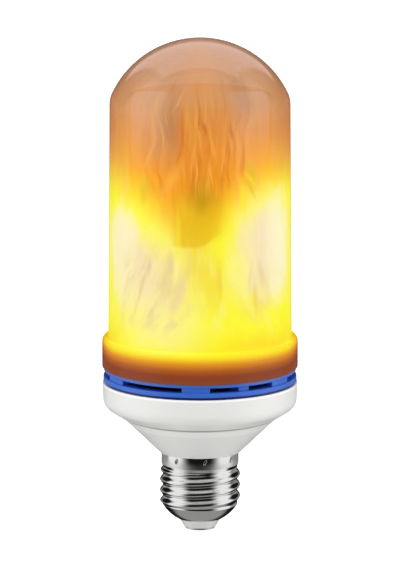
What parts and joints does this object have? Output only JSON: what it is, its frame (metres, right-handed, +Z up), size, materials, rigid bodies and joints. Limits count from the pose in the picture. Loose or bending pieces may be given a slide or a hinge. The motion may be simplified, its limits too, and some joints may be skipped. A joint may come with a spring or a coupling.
{
  "type": "flame effect led bulb",
  "caption": "Flame effect LED bulb: amber translucent domed cylinder on a blue vent ring, white tapered housing and screw cap.",
  "frame": {"origin": "centre of the flat face of the centre contact, at the foot of the screw cap", "axes": "+Z up the bulb's axis towards the dome, -Y the side that the picture shows, +X to its right"},
  "size_m": [0.0638, 0.0638, 0.162],
  "materials": {
    "contact_metal": "polished nickel plate",
    "cap_insulator": "pale grey, slight gloss",
    "cap_metal": "mirror nickel plate",
    "housing_white": "white moulded plastic, soft gloss",
    "ring_blue": "blue moulded plastic, soft gloss",
    "cover_amber": "amber translucent, glossy, lit from inside",
    "core_white": "white, matte",
    "flex_board": "thin flexible board, lit",
    "led_lens": "yellow encapsulated, lit",
    "board_green": "coated circuit board",
    "chip_black": "matte epoxy",
    "can_sleeve": "dark shrink sleeve",
    "film_red": "dipped resin",
    "ferrite": "matte ferrite",
    "winding_tape": "yellow tape over the windings",
    "fuse_sleeve": "coated resistor",
    "lead_red": "insulated wire",
    "lead_black": "insulated wire",
    "lead_white": "insulated wire",
    "screw_steel": "zinc plated"
  },
  "bodies": {
    "root": {"centre_contact": "contact_metal", "cap_insulator": "cap_insulator", "screw_shell": "cap_metal", "lamp_housing": "housing_white", "vent_ring": "ring_blue", "ring_screws": "screw_steel", "diffuser_cover": "cover_amber", "led_carrier": "core_white", "carrier_screws": "screw_steel", "carrier_cap": "core_white", "led_flex_board": "flex_board", "leds": "led_lens", "control_board": "board_green", "flame_controller_chip": "chip_black", "control_resistors": "chip_black", "control_capacitor": "can_sleeve", "driver_board": "board_green", "transformer_core": "ferrite", "transformer_winding": "winding_tape", "smoothing_capacitor": "can_sleeve", "output_capacitor": "can_sleeve", "film_capacitor": "film_red", "filter_inductor": "ferrite", "bridge_rectifier": "chip_black", "driver_chip": "chip_black", "driver_resistors": "chip_black", "fusible_resistor": "fuse_sleeve", "live_lead_lower": "lead_red", "live_lead_upper": "lead_red", "neutral_lead": "lead_black", "supply_lead_positive": "lead_red", "supply_lead_negative": "lead_black", "flex_leads": "lead_white"}
  },
  "joints": []
}
